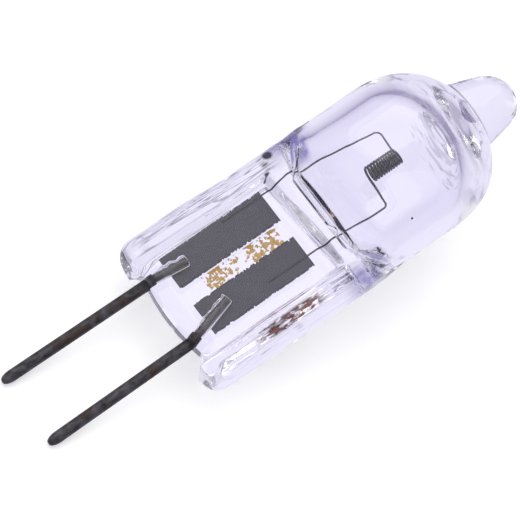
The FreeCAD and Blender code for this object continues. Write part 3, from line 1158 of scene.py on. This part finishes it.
def pinMaterial():
    p = pinFinish
    material, mat = newMaterial("pinMetal")
    mottled = mat.noise(mat.objectSpots(p["mottleStretch"]), p["mottleScale"], 4.0)
    base = mat.mixColour(mat.climb(mottled, *p["mottleStops"]), p["dark"], p["light"])
    patches = mat.noise(mat.objectSpots(p["patchStretch"]), p["patchScale"], 4.0)
    base = mat.mixColour(mat.climb(patches, *p["patchStops"]) * p["patchShare"], base, p["brown"])
    drawn = mat.noise(mat.objectSpots(p["drawnStretch"]), p["drawnScale"])
    shade(mat, Base_Color=base, Roughness=p["roughness"], Metallic=p["metallic"],
          Normal=mat.bump(drawn, *p["bump"]))
    return material


def foilMaterial():
    f = foilFinish
    material, mat = newMaterial("molybdenumFoil")
    rolled = mat.noise(mat.objectSpots(f["rolledStretch"]), f["rolledScale"])
    base = mat.mixColour(rolled, f["dark"], f["light"])
    shade(mat, Base_Color=base, Roughness=f["roughness"], Metallic=f["metallic"],
          Normal=mat.bump(rolled, *f["bump"]))
    return material


def wireMaterial():
    w = wireFinish
    material, mat = newMaterial("tungstenWire")
    drawn = mat.noise(mat.objectSpots(), w["drawnScale"], 2.0)
    base = mat.mixColour(drawn, w["dark"], w["light"])
    shade(mat, Base_Color=base, Roughness=w["roughness"], Metallic=w["metallic"])
    return material


def markMaterial():
    m = markFinish
    material, mat = newMaterial("amberPrint")
    tone = mat.noise(mat.objectSpots(), m["toneScale"])
    base = mat.mixColour(tone, m["amber"], m["yellow"])
    shade(mat, Base_Color=base, Roughness=m["roughness"], Transmission_Weight=m["through"])
    return material


makeGlass(glassMaterial())
pinMetal = pinMaterial()
foilMetal = foilMaterial()
for side in ("left", "right"):
    makePin(side, pinMetal)
    makeFoil(side, foilMetal)
makeWire(wireMaterial())
makeMark(markMaterial())


# Stage, light and camera

stage = {
    "floorSize": 1.2,
    "table": 0.8,
    "glow": 0.4,
    "darkening": (22, 40, 1),  # how fast the floor darkens each way, as the glass shows it
    "darkReach": (0.4, 1.0),
    "floorNear": colour(240, 237, 254),
    "floorFar": colour(158, 150, 182),
    "skyReach": (0.0, 0.55),
    "skyLow": colour(146, 140, 168),
    "skyHigh": colour(243, 243, 247),
    "skyStrength": 0.9,
    "bounces": 24,
}
softBox = {
    "place": (0.35, 0.5, 0.8),
    "size": 1.4,
    "power": 5.5,
}


def makeFloor():
    bm = bmesh.new()
    bmesh.ops.create_grid(bm, x_segments=1, y_segments=1, size=stage["floorSize"] / 2)
    mesh = bpy.data.meshes.new("floor")
    bm.to_mesh(mesh)
    bm.free()
    floor = bpy.data.objects.new("floor", mesh)
    bpy.context.scene.collection.objects.link(floor)
    material, mat = newMaterial("paleTable")
    mesh.materials.append(material)
    plain = mat.node("ShaderNodeBsdfDiffuse", None, {"Color": grey(stage["table"])})
    glow = mat.node("ShaderNodeEmission", None, {"Color": grey(1), "Strength": stage["glow"]})
    seen = mat.node("ShaderNodeAddShader", None, [plain, glow])
    places = mat.node("ShaderNodeTexCoord", None, (), "Object")
    spots = mat.node("ShaderNodeMapping", {"vector_type": "POINT"},
                     {"Vector": places, "Scale": stage["darkening"]})
    far = mat.node("ShaderNodeVectorMath", {"operation": "LENGTH"}, [spots], "Value")
    tone = mat.ramp(far, list(zip(stage["darkReach"], (stage["floorNear"], stage["floorFar"]))))
    through = mat.node("ShaderNodeEmission", None, {"Color": tone, "Strength": 1.0})
    bent = mat.node("ShaderNodeMath", {"operation": "MAXIMUM"},
                    [mat.node("ShaderNodeLightPath", None, (), ray)
                     for ray in ("Is Transmission Ray", "Is Glossy Ray")])
    mat.node("ShaderNodeOutputMaterial", None, [mat.node("ShaderNodeMixShader", None, [bent, seen, through])])


def makeWorld():
    world = bpy.data.worlds.new("studio")
    bpy.context.scene.world = world
    world.use_nodes = True
    mat = Mat(world.node_tree)
    spots = mat.node("ShaderNodeTexCoord", None, (), "Generated")
    height = mat.node("ShaderNodeSeparateXYZ", None, [spots], "Z")
    sky = mat.ramp(height, list(zip(stage["skyReach"], (stage["skyLow"], stage["skyHigh"]))))
    soft = mat.node("ShaderNodeBackground", None, {"Color": sky, "Strength": stage["skyStrength"]})
    plain = mat.node("ShaderNodeBackground", None, {"Color": grey(1), "Strength": 1.0})
    seen = mat.node("ShaderNodeLightPath", None, (), "Is Camera Ray")
    mat.node("ShaderNodeOutputWorld", None, [mat.node("ShaderNodeMixShader", None, [seen, soft, plain])])


def makeSoftBox():
    light = bpy.data.lights.new("softBox", "AREA")
    light.shape = "DISK"
    light.size = softBox["size"]
    light.energy = softBox["power"]
    lamp = bpy.data.objects.new("softBox", light)
    lamp.location = softBox["place"]
    lamp.rotation_mode = "QUATERNION"
    lamp.rotation_quaternion = Vector(softBox["place"]).to_track_quat("Z", "Y")
    bpy.context.scene.collection.objects.link(lamp)


view = {  # degrees, and millimetres in the frame
    "azimuth": 207.76,
    "elevation": 62.57,
    "roll": 27.58,
    "aim": (-1.110, -0.289, 4.0),
    "distance": 400.0,
    "lens": 526.0,
    "sensor": 36,
}


def makeCamera():
    camera = bpy.data.objects.new("camera", bpy.data.cameras.new("camera"))
    bpy.context.scene.collection.objects.link(camera)
    azimuth, elevation, roll = (math.radians(view[key]) for key in ("azimuth", "elevation", "roll"))
    back = Vector((math.cos(elevation) * math.cos(azimuth), math.cos(elevation) * math.sin(azimuth),
                   math.sin(elevation)))
    level = Vector((0, 0, 1)).cross(back).normalized()
    rise = back.cross(level)
    right = level * math.cos(roll) + rise * math.sin(roll)
    up = rise * math.cos(roll) - level * math.sin(roll)
    turn = Matrix((right, up, back)).transposed().to_4x4()
    camera.matrix_world = Matrix.Translation((Vector(view["aim"]) + back * view["distance"]) * mm) @ turn
    camera.data.lens = view["lens"]
    camera.data.sensor_width = view["sensor"]
    bpy.context.scene.camera = camera


makeFloor()
makeWorld()
makeSoftBox()
makeCamera()
bpy.context.scene.view_settings.view_transform = "Standard"
for limit in ("max_bounces", "glossy_bounces", "transmission_bounces"):
    setattr(bpy.context.scene.cycles, limit, stage["bounces"])

print("scene ready")
